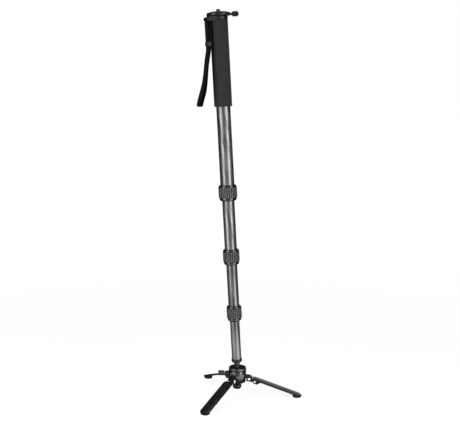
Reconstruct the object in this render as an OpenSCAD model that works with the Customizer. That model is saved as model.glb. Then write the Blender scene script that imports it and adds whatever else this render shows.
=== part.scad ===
// Camera monopod with a ball-jointed three-leg foot, four twist-lock tubes, a foam grip,
// a wrist strap and a round platform with a reversible stud. Millimetres, +Z up, floor at 0.
// The shaft leans to the left about the ball, as in the reference picture.

/* [Shaft] */
// lean of the shaft to the left at rest, degrees
lean = 4.3; // [0:0.1:9]
// outer diameter of the top tube
tube1_d = 32; // [31.8:0.1:32.2]
// outer diameter of the second tube
tube2_d = 28; // [27.9:0.1:28.1]
// outer diameter of the third tube
tube3_d = 25; // [24.9:0.1:25.1]
// outer diameter of the bottom tube
tube4_d = 22; // [21.9:0.1:22.1]
// wall of the top tube
wall1 = 1.4; // [1.3:0.05:1.5]
// wall of the other tubes
wall = 1; // [0.9:0.05:1]
// height of each twist lock
lock_h = 36.5; // [36:0.1:37]
// outer diameter of the top lock
lock1_d = 42.4; // [42:0.1:44]
// outer diameter of the middle lock
lock2_d = 38; // [37.6:0.1:39]
// outer diameter of the bottom lock
lock3_d = 34.8; // [34.4:0.1:36]
// station of the top lock's lower end, along the shaft from the ball
lock1_s = 403; // [395:1:410]
// station of the middle lock's lower end
lock2_s = 255.5; // [250:0.5:262]
// station of the bottom lock's lower end
lock3_s = 123.5; // [110:0.5:130]

/* [Grip and platform] */
// diameter of the foam grip
grip_d = 40.4; // [38:0.2:42]
// length of the foam grip
grip_h = 190; // [150:1:195]
// diameter of the platform plate
plate_d = 52.8; // [50:0.2:58]
// diameter of the neck collar
neck_d = 41; // [40.8:0.1:42]
// diameter of the camera stud, 3/8 inch
stud_d = 9.52; // [9.4:0.02:9.6]
// how far the stud stands above the pad
stud_h = 5.9; // [5:0.1:9]

/* [Foot] */
// diameter of the hub
hub_d = 40.9; // [40:0.1:42]
// diameter of the ball
ball_d = 22; // [21.8:0.1:22]
// width of a leg blade
blade_w = 22; // [18:0.5:24]
// thickness of a leg blade
blade_t = 3.8; // [3.4:0.1:3.8]
// length of a blade from its hinge to the centre of its round end
blade_l = 103.2; // [102:0.1:103.2]
// diameter of a foot pad
pad_d = 20; // [16:0.5:21]

/* [Hidden] */
$fn = 72;
over = 1;
fit = 0.05;
slip = 0.1;
air = 0.3;
hub_x = -23.7;
ball_z = 56.5;
ball_r = ball_d / 2;
leg_angles = [240, 0, 120];

// shaft stations and radii
top_s = 805;
plug_s = 780;
plug_flange_r = 17.5;
plug_flange_h = 3;
plug_pocket_r = 5.6;
plug_pocket_h = 12;
neck_h = 7.2;
neck_groove_h = 0.9;
neck_groove_depth = 1.2;
neck_bore_r = 5.6;
plate_s = top_s + neck_h + neck_groove_h;
plate_h = 7.1;
plate_edge = 1.3;
pad_recess_r = 23.6;
pad_recess_h = 0.9;
plate_pad_h = 3;
plate_pad_crown_r = 17.5;
plate_pad_rim_h = 1.2;
plate_pad_hole_r = 6.4;
plate_top_s = plate_s + plate_h;
pad_top_s = plate_top_s - pad_recess_h + plate_pad_h;
stud_small_r = 3.17;
stud_small_h = 13;
stud_tip = 1.1;
stud_neck_r = 4.2;
stud_neck_h = 2;
bush_h = 25;
tube4_top = 455;
tube3_top = 550;
tube2_top = 668;
joint_up = 17.2;
grip_round = 1.6;

// plate screws
plate_screw_r = 1.5;
plate_screw_at = 13;
plate_screw_down = 9;
plate_screw_head_r = 2.8;
plate_screw_head_h = 2;
plate_screw_sink = 0.1;

// stud lock knob, on the right of the plate
knob_s = 816.2;
knob_head_w = 11.4;
knob_head_t = 5;
knob_neck_l = 2;
knob_head_l = 16.6;
knob_head_in = plate_d / 2 + knob_neck_l;
knob_head_out = knob_head_in + knob_head_l;
knob_dish = 0.9;
knob_dish_rim = 1.5;
knob_neck_r = 2.3;
knob_flange_r = 3.4;
knob_flange_t = 1.2;
knob_screw_r = 1.9;
knob_screw_in = 5.2;

// strap bracket and strap
lug_turn = 35;
lug_in = 18;
lug_pin_x = -30.6;
lug_pin_s = 806.1;
lug_r = 4.3;
lug_half_gap = 6.5;
lug_ear_t = 1.6;
lug_bridge_out = 25.2;
lug_slope = 1.1;
lug_pin_r = 1.4;
lug_pin_head_r = 2.2;
lug_pin_head_t = 0.7;
band_t = 1;
band_low = 802.4;
band_top = 810.4;
band_turn = 38;
band_reach = 40;
strap_w = 12;
strap_t = 1.5;
strap_eye_r = 3.3;
// the strap's loop: height, middle, and half the distance between its two runs
strap_run = [[806.1, -30.6, 2.55], [800, -30.65, 2.4], [792, -30.9, 2.1], [744, -30.9, 2.1],
    [736, -32, 2.1], [729, -33.6, 2.05], [722, -35.5, 2], [714, -37.2, 1.9], [705, -38.9, 1.8],
    [697, -40.4, 1.75], [688, -41.9, 1.95], [679, -43.6, 2.3], [671, -45.3, 2.7],
    [662, -47.6, 3.35], [653, -50.3, 4.05], [645, -53.1, 4.4], [637, -56.2, 4.45],
    [629, -59.35, 4.3], [622, -61.5, 4]];
strap_end_n = 10;
keeper_s = 748;
keeper_h = 10;
keeper_out = -34.85;
keeper_in = -26.95;
keeper_wall = 1;
keeper_room = 0.1;

// twist lock
lock_low_h = 7;
lock_high_h = 4.4;
lock_step = 1.3;
// steps in from the lock's outer radius, and up from its lower end or down from its upper end
lock_low_profile = [[5.2, 0], [3.7, 0.7], [2.4, 2], [1.65, 3.6], [1.35, 5.2]];
lock_high_profile = [[0.75, 3.2], [1.2, 1.7], [2.1, 0.6], [3.4, 0]];
lock_lip_h = 4;
lock_lip_gap = 0.5;
lock_thread_t = 1.6;
lock_sleeve_h = 18.4;
lock_cover_t = 2.2;
lock_cover_gap = 0.2;
lock_rib = 0.35;
lock_rib_n = 30;
lock_rib_r = 0.9;
collet_low = 4.4;
collet_h = 12.4;
collet_flare = 0.6;
collet_taper = 1;
collet_slit = 1.2;

// foot collar and ball stem
collar_s = 24;
collar_h = 9;
collar_r = 12.2;
collar_chamfer = 3;
collar_small_r = 8.6;
collar_notch_w = 2.4;
collar_notch_in = 9.4;
collar_seat_s = 27.2;
collar_plug_s = 45;
stem_r = 5.7;
stem_foot_s = 9.4;
stem_neck_s = 17;
stem_head_r = 7.4;
stem_root_r = 4;
stem_root_s = -5;
stem_pin_r = 5;
stem_top_s = 48.6;
retainer_r = 8.4;
retainer_t = 2;

// hub
hub_r = hub_d / 2;
hub_low_z = 27;
cone_profile = [[10.4, 27], [11.2, 29.4], [13.8, 32.4], [18.2, 34]];
cone_edge_z = 36;
hub_ring_z = 62.2;
ring_gap = 0.4;
ring_gap_depth = 0.8;
ring_top_z = 69.2;
ring_skirt_r = 16.4;
ring_skirt_z = 57.6;
ring_lip = 1.9;
ring_edge = 0.8;
funnel = [[16.4, 66.8], [12.6, 63.4], [10.8, 62.2]];
seat_t = 1;
seat_rim_drop = 9;
seat_hole_r = 2.4;
slot_half = 6.3;
slot_top_z = 42.6;
core_r = 4.5;
tenon_in = 16.4;
hood_low_z = 44.2;
hood_top_z = 50.2;
cap_profile = [[4.6, 17.3], [7.4, 17.9], [9.2, 19.6], [10.2, 22], [10.4, 24.4], [10.4, 27]];
cap_bore_r = 4.6;
cap_bore_z = 21;
bolt_r = 2;
bolt_head_r = 4.5;
bolt_head_h = 3;
bolt_top_z = 40;
bolt_hex = 4;
bolt_hex_h = 1.8;

// ball lock knob, on the left of the hub
lock_knob_z = 54;
lock_boss_r = 5.5;
lock_boss_out = 28.8;
lock_knob_r = 6;
lock_knob_in = 30.2;
lock_knob_out = 44.6;
lock_knob_edge = 0.8;
lock_knob_flute_n = 12;
lock_knob_flute_r = 0.9;
lock_screw_r = 2.5;
lock_screw_in = 13.4;
brake_r = 2.5;
brake_in = 11.1;

// leg hinge, stations from the hub axis and heights
pivot_r = 40.9;
pivot_z = 33.8;
// how far the line of a blade runs below the floor at its round end, and the slope that this gives
foot_sink = 0.649;
leg_drop = asin((pivot_z + foot_sink) / blade_l);
web_half = 2.5;
hood_half = 6.2;
hood_outline = [[16.4, 44.2], [16.4, 50.2], [27, 50.2], [31.6, 48.5], [35.2, 45.9], [34.65, 44.2]];
web_outline = [[16.4, 43], [16.4, 44.2], [34.65, 44.2], [33.8, 41.6], [36.3, 40.7], [33.9, 33.7],
    [21, 36], [21, 43]];
window_r = 3.45;
window_at = [27.7, 40];
tongue_half = 0.9;
tongue_r = 4.4;
tongue_back = -7.4;
tongue_stop = -0.6;
tongue_top = 5.25;
tongue_low = -2.4;
ear_in = 1.2;
ear_r = 4.7;
ear_low_r = 4.2;
ear_low_at = [4.6, -0.4];
ear_outline = [[-4.7, 0], [-4.9, 5.6], [16, 5.6], [8.4, -2.1], [4.6, -1]];
rib_outline = [[6.6, 1], [6.6, 5.6], [16, 5.6], [11, 1]];
pin_r = 3.2;
pin_bore_r = 2.6;
pin_head_r = 3.9;
pin_head_t = 0.5;
blade_low = 5.55;
root_u = -7.7;
root_half = 6.7;
shoulder_u = -1.6;
shoulder_in_u = -6.4;
groove_w = 1.4;
groove_depth = 0.5;
groove_from = 6;
groove_to = 98;
root_bevel = 2.4;
foot_edge = 0.7;
pad_r = pivot_r + blade_l * cos(leg_drop) + blade_low * sin(leg_drop);
foot_cut = 30;

// which node to build

// ---- frames and small helpers

// the shaft's own frame: origin at the ball, z along the shaft
module shaft() {
    translate([hub_x, 0, ball_z]) rotate([0, -lean, 0]) children();
}
// the hub's frame: z on the hub axis, floor at 0
module hub() {
    translate([hub_x, 0, 0]) children();
}
module at_leg(n) {
    hub() rotate([0, 0, leg_angles[n]]) children();
}
// a leg's frame: origin at its hinge, x down the blade, z square to it
module leg_frame(n) {
    at_leg(n) translate([pivot_r, 0, pivot_z]) rotate([0, leg_drop, 0]) children();
}
// a cylinder along z from a to b
module rod(r, a, b) {
    translate([0, 0, a]) cylinder(r = r, h = b - a);
}
// a pipe along z from a to b
module pipe(ro, ri, a, b) {
    difference() {
        rod(ro, a, b);
        rod(ri, a - over, b + over);
    }
}
// an outline in x and z, drawn out along y to half on each side
module slab(points, half) {
    rotate([90, 0, 0]) translate([0, 0, -half]) linear_extrude(2 * half) polygon(points);
}
// a cylinder along y, centred
module pin_y(r, half) {
    rotate([90, 0, 0]) translate([0, 0, -half]) cylinder(r = r, h = 2 * half);
}
// a cylinder along x from a to b
module pin_x(r, a, b) {
    translate([a, 0, 0]) rotate([0, 90, 0]) cylinder(r = r, h = b - a);
}

// ---- platform

module platform_pad() color("dimgray") shaft()
    rotate_extrude() polygon([[plate_pad_hole_r, plate_top_s - pad_recess_h],
        [pad_recess_r, plate_top_s - pad_recess_h],
        [pad_recess_r, plate_top_s - pad_recess_h + plate_pad_rim_h],
        [plate_pad_crown_r, pad_top_s], [plate_pad_hole_r, pad_top_s]]);

module platform_plate() color("black") shaft() difference() {
    rotate_extrude() polygon([[0, plate_s], [plate_d / 2 - plate_edge, plate_s],
        [plate_d / 2, plate_s + plate_edge], [plate_d / 2, plate_top_s - plate_edge],
        [plate_d / 2 - plate_edge, plate_top_s], [0, plate_top_s]]);
    rod(pad_recess_r, plate_top_s - pad_recess_h, plate_top_s + over);
    rod(stud_d / 2 + fit, plate_s - over, plate_top_s + over);
    translate([0, 0, knob_s]) pin_x(knob_screw_r + fit, 0, plate_d / 2 + over);
    for (k = [0:2]) rotate([0, 0, 60 + 120 * k]) translate([plate_screw_at, 0, 0]) {
        rod(plate_screw_r, plate_s - over, plate_top_s);
        rod(plate_screw_head_r, plate_top_s - pad_recess_h - plate_screw_head_h - plate_screw_sink,
            plate_top_s);
    }
}

module plate_screws() color("silver") shaft()
    for (k = [0:2]) rotate([0, 0, 60 + 120 * k]) translate([plate_screw_at, 0, 0]) {
        rod(plate_screw_r, plate_s - plate_screw_down,
            plate_top_s - pad_recess_h - plate_screw_head_h - plate_screw_sink);
        rod(plate_screw_head_r, plate_top_s - pad_recess_h - plate_screw_head_h - plate_screw_sink,
            plate_top_s - pad_recess_h - plate_screw_sink);
    }

module camera_stud() color("silver") shaft() rotate_extrude() polygon([
    [0, plate_s - stud_small_h], [stud_small_r - stud_tip, plate_s - stud_small_h],
    [stud_small_r, plate_s - stud_small_h + stud_tip], [stud_small_r, plate_s],
    [stud_d / 2, plate_s + stud_tip], [stud_d / 2, plate_top_s - pad_recess_h],
    [stud_neck_r, plate_top_s - pad_recess_h], [stud_neck_r, plate_top_s - pad_recess_h + stud_neck_h],
    [stud_d / 2, plate_top_s - pad_recess_h + stud_neck_h],
    [stud_d / 2, pad_top_s + stud_h - stud_tip], [stud_d / 2 - stud_tip, pad_top_s + stud_h],
    [0, pad_top_s + stud_h]]);

module oval(w, from, to, half) {
    translate([from + w / 2, 0, 0]) pin_y(w / 2, half);
    translate([to - w / 2, 0, 0]) pin_y(w / 2, half);
    translate([from + w / 2, -half, -w / 2]) cube([to - from - w, 2 * half, w]);
}

module stud_lock_knob() color("black") shaft() translate([0, 0, knob_s]) {
    difference() {
        oval(knob_head_w, knob_head_in, knob_head_out, knob_head_t / 2);
        for (side = [-1, 1]) translate([0, side * knob_head_t / 2, 0])
            oval(knob_head_w - 2 * knob_dish_rim - knob_dish, knob_head_in + knob_dish_rim + knob_dish,
                knob_head_out - knob_dish_rim - knob_dish, knob_dish);
    }
    pin_x(knob_neck_r, plate_d / 2 + air + knob_flange_t, knob_head_in + knob_dish);
    pin_x(knob_flange_r, plate_d / 2 + air, plate_d / 2 + air + knob_flange_t);
}

module stud_lock_screw() color("silver") shaft() translate([0, 0, knob_s])
    pin_x(knob_screw_r, knob_screw_in, plate_d / 2 + air);

module neck_collar() color("black") shaft() difference() {
    union() {
        rotate_extrude() polygon([[0, top_s], [neck_d / 2 - plate_edge, top_s],
            [neck_d / 2, top_s + plate_edge], [neck_d / 2, top_s + neck_h - plate_edge / 2],
            [neck_d / 2 - plate_edge / 2, top_s + neck_h], [0, top_s + neck_h]]);
        rod(neck_d / 2 - neck_groove_depth, top_s, plate_s);
    }
    rod(plug_flange_r + fit, top_s - over, top_s + plug_flange_h);
    rod(neck_bore_r, top_s, plate_s + over);
    for (k = [0:2]) rotate([0, 0, 60 + 120 * k]) translate([plate_screw_at, 0, 0])
        rod(plate_screw_r, top_s, plate_s + over);
}

module top_plug() color("silver") shaft() difference() {
    union() {
        rod(tube1_d / 2 - wall1, plug_s, top_s);
        rod(plug_flange_r, top_s, top_s + plug_flange_h);
    }
    rod(plug_pocket_r, top_s + plug_flange_h - plug_pocket_h, top_s + plug_flange_h + over);
    for (k = [0:2]) rotate([0, 0, 60 + 120 * k]) translate([plate_screw_at, 0, 0])
        rod(plate_screw_r, plate_s - plate_screw_down, top_s + plug_flange_h + over);
}

// ---- strap

// the bracket's own frame, turned a little towards the front
module strap_side() {
    shaft() rotate([0, 0, lug_turn]) children();
}

module strap_bracket() color("black") strap_side() difference() {
    union() {
        for (side = [-1, 1]) translate([0, side * (lug_half_gap + lug_ear_t / 2), 0]) {
            translate([lug_pin_x, 0, lug_pin_s]) pin_y(lug_r, lug_ear_t / 2);
            slab([[lug_pin_x, lug_pin_s - lug_r], [-lug_in, lug_pin_s - lug_r], [-lug_in, plate_s],
                [-lug_bridge_out, plate_s], [lug_pin_x - lug_slope, lug_pin_s + lug_r - lug_slope]],
                lug_ear_t / 2);
        }
        translate([-lug_bridge_out, -lug_half_gap - lug_ear_t, lug_pin_s - lug_r])
            cube([lug_bridge_out - lug_in, 2 * (lug_half_gap + lug_ear_t),
                plate_s - lug_pin_s + lug_r]);
        intersection() {
            rod(neck_d / 2 + band_t, band_low, band_top);
            translate([0, 0, band_low]) linear_extrude(band_top - band_low) polygon([[0, 0],
                band_reach * [-cos(band_turn), sin(band_turn)],
                band_reach * [-cos(band_turn), -sin(band_turn)]]);
        }
    }
    rod(neck_d / 2, top_s - plug_pocket_h, plate_s + over);
    translate([lug_pin_x, 0, lug_pin_s]) pin_y(lug_pin_r, lug_half_gap + lug_ear_t + over);
}

module strap_pin() color("silver") strap_side() translate([lug_pin_x, 0, lug_pin_s]) {
    pin_y(lug_pin_r, lug_half_gap + lug_ear_t);
    for (side = [-1, 1])
        translate([0, side * (lug_half_gap + lug_ear_t + lug_pin_head_t / 2), 0])
            pin_y(lug_pin_head_r, lug_pin_head_t / 2);
}

// the loop's outline, grown by d from the middle of the webbing
function strap_outline(d) = let (low = strap_run[len(strap_run) - 1]) concat(
    [for (row = strap_run) [row[1] - row[2] - d, row[0]]],
    [for (k = [1:strap_end_n - 1]) [low[1], low[0]]
        - (low[2] + d) * [cos(180 * k / strap_end_n), sin(180 * k / strap_end_n)]],
    [for (k = [len(strap_run) - 1:-1:0]) [strap_run[k][1] + strap_run[k][2] + d, strap_run[k][0]]]);

module wrist_strap() color("darkslategray") strap_side() difference() {
    union() {
        slab(strap_outline(strap_t / 2), strap_w / 2);
        translate([lug_pin_x, 0, lug_pin_s]) pin_y(strap_eye_r, strap_w / 2);
    }
    slab(strap_outline(-strap_t / 2), strap_w / 2 + over);
    translate([lug_pin_x, 0, lug_pin_s]) pin_y(strap_eye_r - strap_t, strap_w / 2 + over);
}

module strap_keeper() color("dimgray") strap_side() difference() {
    translate([keeper_out, -strap_w / 2 - keeper_wall - keeper_room, keeper_s])
        cube([keeper_in - keeper_out, strap_w + 2 * keeper_wall + 2 * keeper_room, keeper_h]);
    translate([keeper_out + keeper_wall, -strap_w / 2 - keeper_room, keeper_s - over])
        cube([keeper_in - keeper_out - 2 * keeper_wall, strap_w + 2 * keeper_room,
            keeper_h + 2 * over]);
}

// ---- grip and tubes

module foam_grip() color("dimgray") shaft() rotate_extrude() polygon([
    [tube1_d / 2, top_s - grip_h], [grip_d / 2 - grip_round, top_s - grip_h],
    [grip_d / 2, top_s - grip_h + grip_round], [grip_d / 2, top_s - grip_round],
    [grip_d / 2 - grip_round, top_s], [tube1_d / 2, top_s]]);

module tube_1() color("slategray") shaft()
    pipe(tube1_d / 2, tube1_d / 2 - wall1, lock1_s + joint_up, top_s);
module tube_2() color("slategray") shaft()
    pipe(tube2_d / 2, tube2_d / 2 - wall, lock2_s + joint_up, tube2_top);
module tube_3() color("slategray") shaft()
    pipe(tube3_d / 2, tube3_d / 2 - wall, lock3_s + joint_up, tube3_top);
module tube_4() color("slategray") shaft()
    pipe(tube4_d / 2, tube4_d / 2 - wall, collar_seat_s, tube4_top);

module guide_bush_2() color("white") shaft()
    pipe(tube1_d / 2 - wall1 - slip, tube2_d / 2, tube2_top - bush_h, tube2_top);
module guide_bush_3() color("white") shaft()
    pipe(tube2_d / 2 - wall - slip, tube3_d / 2, tube3_top - bush_h, tube3_top);
module guide_bush_4() color("white") shaft()
    pipe(tube3_d / 2 - wall - slip, tube4_d / 2, tube4_top - bush_h, tube4_top);

// ---- twist locks, each drawn for its own two tubes

module lock_sleeve(s, up_r) {
    pipe(up_r + lock_thread_t, up_r, s + joint_up, s + joint_up + lock_sleeve_h);
}

module lock_collet(s, up_r, low_r) difference() {
    translate([0, 0, s + collet_low])
        cylinder(r1 = up_r + collet_flare - collet_taper, r2 = up_r + collet_flare, h = collet_h);
    rod(low_r + fit, s, s + lock_h);
    translate([0, -collet_slit / 2, s]) cube([2 * up_r, collet_slit, lock_h]);
}

module lock_ring(s, out_r, up_r, low_r) difference() {
    rotate_extrude() polygon(concat([[0, s]],
        [for (step = lock_low_profile) [out_r - step[0], s + step[1]]],
        [[out_r - lock_step, s + lock_low_h], [out_r - lock_cover_t, s + lock_low_h],
        [out_r - lock_cover_t, s + lock_h - lock_high_h],
        [out_r - lock_step / 2, s + lock_h - lock_high_h]],
        [for (step = lock_high_profile) [out_r - step[0], s + lock_h - step[1]]],
        [[0, s + lock_h]]));
    rod(low_r + lock_lip_gap, s - over, s + lock_h);
    rod(up_r + lock_thread_t - 2 * collet_taper / 2 + 2 * fit, s + lock_lip_h, s + lock_h);
    rod(up_r + lock_thread_t + slip, s + joint_up - slip, s + lock_h + over);
}

// rubber cover with shallow grip grooves
module lock_cover(s, out_r) difference() {
    rotate_extrude() polygon([[out_r - lock_cover_t, s + lock_low_h + lock_cover_gap],
        [out_r - lock_rib, s + lock_low_h + lock_cover_gap],
        [out_r, s + lock_low_h + 2 * lock_cover_t],
        [out_r, s + lock_h - lock_high_h - 2 * lock_cover_t],
        [out_r - lock_rib, s + lock_h - lock_high_h - lock_cover_gap],
        [out_r - lock_cover_t, s + lock_h - lock_high_h - lock_cover_gap]]);
    for (k = [1:lock_rib_n]) rotate([0, 0, 360 * k / lock_rib_n])
        translate([out_r + lock_rib_r - lock_rib, 0, s + lock_low_h + lock_cover_t])
            cylinder(r = lock_rib_r, h = lock_h - lock_low_h - lock_high_h - 2 * lock_cover_t, $fn = 24);
}

module lock_1_sleeve() color("silver") shaft() lock_sleeve(lock1_s, tube1_d / 2);
module lock_2_sleeve() color("silver") shaft() lock_sleeve(lock2_s, tube2_d / 2);
module lock_3_sleeve() color("silver") shaft() lock_sleeve(lock3_s, tube3_d / 2);
module lock_1_collet() color("white") shaft() lock_collet(lock1_s, tube1_d / 2, tube2_d / 2);
module lock_2_collet() color("white") shaft() lock_collet(lock2_s, tube2_d / 2, tube3_d / 2);
module lock_3_collet() color("white") shaft() lock_collet(lock3_s, tube3_d / 2, tube4_d / 2);
module lock_1_ring() color("black") shaft()
    lock_ring(lock1_s, lock1_d / 2, tube1_d / 2, tube2_d / 2);
module lock_2_ring() color("black") shaft()
    lock_ring(lock2_s, lock2_d / 2, tube2_d / 2, tube3_d / 2);
module lock_3_ring() color("black") shaft()
    lock_ring(lock3_s, lock3_d / 2, tube3_d / 2, tube4_d / 2);
module lock_1_cover() color("dimgray") shaft() lock_cover(lock1_s, lock1_d / 2);
module lock_2_cover() color("dimgray") shaft() lock_cover(lock2_s, lock2_d / 2);
module lock_3_cover() color("dimgray") shaft() lock_cover(lock3_s, lock3_d / 2);

// ---- foot of the shaft

module foot_collar() color("silver") shaft() difference() {
    union() {
        rotate_extrude() polygon([[0, collar_s], [collar_small_r, collar_s],
            [collar_r, collar_s + collar_chamfer], [collar_r, collar_s + collar_h],
            [0, collar_s + collar_h]]);
        rod(tube4_d / 2 - wall, collar_s + collar_h, collar_plug_s);
    }
    pipe(tube4_d / 2, tube4_d / 2 - wall, collar_seat_s, collar_plug_s + over);
    rod(stem_pin_r + fit, collar_s - over, collar_plug_s + over);
    for (k = [0:5]) rotate([0, 0, 30 + 60 * k])
        translate([collar_notch_in, -collar_notch_w / 2, collar_s - over])
            cube([collar_r, collar_notch_w, collar_chamfer + over]);
}

module ball_stem() color("silver") shaft() rotate_extrude() polygon([
    [0, stem_root_s], [stem_root_r, stem_root_s], [stem_root_r, stem_foot_s], [stem_r, stem_foot_s],
    [stem_r, stem_neck_s], [stem_head_r, collar_s - air - seat_t], [stem_head_r, collar_s - air],
    [stem_pin_r, collar_s - air], [stem_pin_r, stem_top_s], [0, stem_top_s]]);

module pan_retainer() color("silver") shaft()
    pipe(retainer_r, stem_pin_r, collar_plug_s + air, collar_plug_s + air + retainer_t);

module foot_ball() color("silver") shaft() difference() {
    sphere(r = ball_r);
    rod(ball_r, stem_foot_s, ball_r + over);
    rod(stem_root_r, stem_root_s, ball_r + over);
}

// nylon cup under the ball, which follows its side tilt
module ball_seat() color("white") shaft() difference() {
    sphere(r = ball_r + seat_t);
    sphere(r = ball_r + fit);
    rod(2 * ball_r, -seat_rim_drop, 2 * ball_r);
    rod(seat_hole_r, -2 * ball_r, 0);
}

// ---- hub

module hub_body() color("darkslategray") hub() difference() {
    union() {
        rotate_extrude() polygon(concat([[0, hub_low_z]], cone_profile,
            [[hub_r, cone_edge_z], [hub_r, hub_ring_z - ring_gap],
             [hub_r - ring_gap_depth, hub_ring_z - ring_gap], [hub_r - ring_gap_depth, hub_ring_z],
             [0, hub_ring_z]]));
        translate([0, 0, lock_knob_z]) pin_x(lock_boss_r, -lock_boss_out, 0);
    }
    // the room of the ball, its cup and the ring's skirt
    translate([0, 0, ball_z]) sphere(r = ball_r + seat_t + fit);
    rod(ring_skirt_r, ring_skirt_z - fit, hub_ring_z + over);
    // the three slots, open below, round a slim core
    difference() {
        translate([0, 0, hub_low_z - over]) linear_extrude(slot_top_z - hub_low_z + over)
            for (n = [0:2]) rotate(leg_angles[n]) translate([0, -slot_half])
                square([2 * hub_r, 2 * slot_half]);
        rod(core_r, hub_low_z - 2 * over, slot_top_z + over);
    }
    // seats of the leg brackets
    for (n = [0:2]) rotate([0, 0, leg_angles[n]])
        translate([tenon_in, -hood_half, slot_top_z - over])
            cube([hub_r, 2 * hood_half, hood_top_z - slot_top_z + over]);
    rod(bolt_r, 0, bolt_top_z);
    translate([0, 0, lock_knob_z]) pin_x(lock_screw_r + fit, -lock_boss_out - over, -ball_r);
}

module hub_ring() color("darkslategray") hub() difference() {
    rotate_extrude() polygon(concat([[0, ring_skirt_z], [ring_skirt_r, ring_skirt_z],
        [ring_skirt_r, hub_ring_z], [hub_r, hub_ring_z], [hub_r, ring_top_z - ring_edge],
        [hub_r - ring_edge, ring_top_z], [hub_r - ring_lip, ring_top_z]], funnel,
        [[0, funnel[2][1]]]));
    translate([0, 0, ball_z]) sphere(r = ball_r + slip);
}

module hub_cap() color("darkslategray") hub() difference() {
    rotate_extrude() polygon(concat([[0, cap_profile[0][1]]], cap_profile, [[0, hub_low_z]]));
    rod(cap_bore_r, 0, cap_bore_z);
    rod(bolt_r, 0, hub_low_z + over);
}

module hub_bolt() color("silver") hub() difference() {
    union() {
        rod(bolt_r, cap_bore_z, bolt_top_z);
        rod(bolt_head_r, cap_bore_z - bolt_head_h, cap_bore_z);
    }
    translate([0, 0, cap_bore_z - bolt_head_h - over])
        cylinder(d = bolt_hex, h = bolt_hex_h + over, $fn = 6);
}

module ball_lock_knob() color("dimgray") hub() translate([0, 0, lock_knob_z])
    rotate([0, -90, 0]) difference() {
        rotate_extrude() polygon([[0, lock_knob_in], [lock_knob_r - lock_knob_edge, lock_knob_in],
            [lock_knob_r, lock_knob_in + lock_knob_edge], [lock_knob_r, lock_knob_out - lock_knob_edge],
            [lock_knob_r - lock_knob_edge, lock_knob_out], [0, lock_knob_out]]);
        for (k = [1:lock_knob_flute_n]) rotate([0, 0, 360 * k / lock_knob_flute_n])
            translate([lock_knob_r + lock_knob_flute_r / 2, 0, lock_knob_in + 2 * lock_knob_edge])
                cylinder(r = lock_knob_flute_r,
                    h = lock_knob_out - lock_knob_in - 4 * lock_knob_edge, $fn = 24);
    }

module ball_lock_screw() color("silver") hub() translate([0, 0, lock_knob_z])
    pin_x(lock_screw_r, -lock_knob_in, -lock_screw_in);

module brake_pad() color("goldenrod") hub() translate([0, 0, lock_knob_z])
    pin_x(brake_r, -lock_screw_in, -brake_in);

// ---- legs

module leg_brackets() color("dimgray") for (n = [0:2]) difference() {
    union() {
        at_leg(n) slab(hood_outline, hood_half);
        at_leg(n) difference() {
            slab(web_outline, web_half);
            translate([window_at[0], 0, window_at[1]]) pin_y(window_r, web_half + over);
        }
        leg_frame(n) {
            pin_y(tongue_r, tongue_half);
            slab([[tongue_back, tongue_low], [0, tongue_low], [0, 0], [tongue_stop, tongue_top],
                [tongue_back, tongue_top - fit]], tongue_half);
        }
    }
    leg_frame(n) pin_y(pin_r, web_half + over);
}

module leg_hinge_pins() color("silver") for (n = [0:2]) leg_frame(n) difference() {
    union() {
        pin_y(pin_r, web_half + slip);
        for (side = [-1, 1]) translate([0, side * (web_half + slip + pin_head_t / 2), 0])
            pin_y(pin_head_r, pin_head_t / 2);
    }
    pin_y(pin_bore_r, web_half + over);
}

module leg(n) leg_frame(n) difference() {
    union() {
        translate([0, 0, blade_low]) linear_extrude(blade_t) {
            polygon([[root_u, -root_half], [shoulder_in_u, -root_half], [shoulder_u, -blade_w / 2],
                [blade_l, -blade_w / 2], [blade_l, blade_w / 2], [shoulder_u, blade_w / 2],
                [shoulder_in_u, root_half], [root_u, root_half]]);
            translate([blade_l, 0]) circle(r = blade_w / 2);
        }
        for (side = [-1, 1]) translate([0, side * (ear_in + web_half) / 2, 0]) {
            pin_y(ear_r, (web_half - ear_in) / 2);
            translate([ear_low_at[0], 0, ear_low_at[1]]) pin_y(ear_low_r, (web_half - ear_in) / 2);
            slab(ear_outline, (web_half - ear_in) / 2);
        }
        slab(rib_outline, web_half);
    }
    pin_y(pin_r + fit, web_half + over);
    translate([groove_from, -groove_w / 2, blade_low + blade_t - groove_depth])
        cube([groove_to - groove_from, groove_w, over]);
    translate([root_u, 0, blade_low + blade_t]) rotate([0, 45, 0])
        cube([root_bevel, blade_w, root_bevel], center = true);
}

module leg_pad(n) difference() {
    at_leg(n) rotate_extrude_at(pad_r);
    leg_frame(n) translate([blade_l / 2, -blade_w, blade_low])
        cube([blade_l, 2 * blade_w, foot_cut]);
}

module rotate_extrude_at(r) {
    translate([r, 0, 0]) rotate_extrude() polygon([[0, 0], [pad_d / 2 - foot_edge, 0],
        [pad_d / 2, foot_edge], [pad_d / 2, pad_d / 2], [0, pad_d / 2]]);
}

module leg_1() color("slategray") leg(0);
module leg_2() color("slategray") leg(1);
module leg_3() color("slategray") leg(2);
module leg_1_pad() color("black") leg_pad(0);
module leg_2_pad() color("black") leg_pad(1);
module leg_3_pad() color("black") leg_pad(2);

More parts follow.
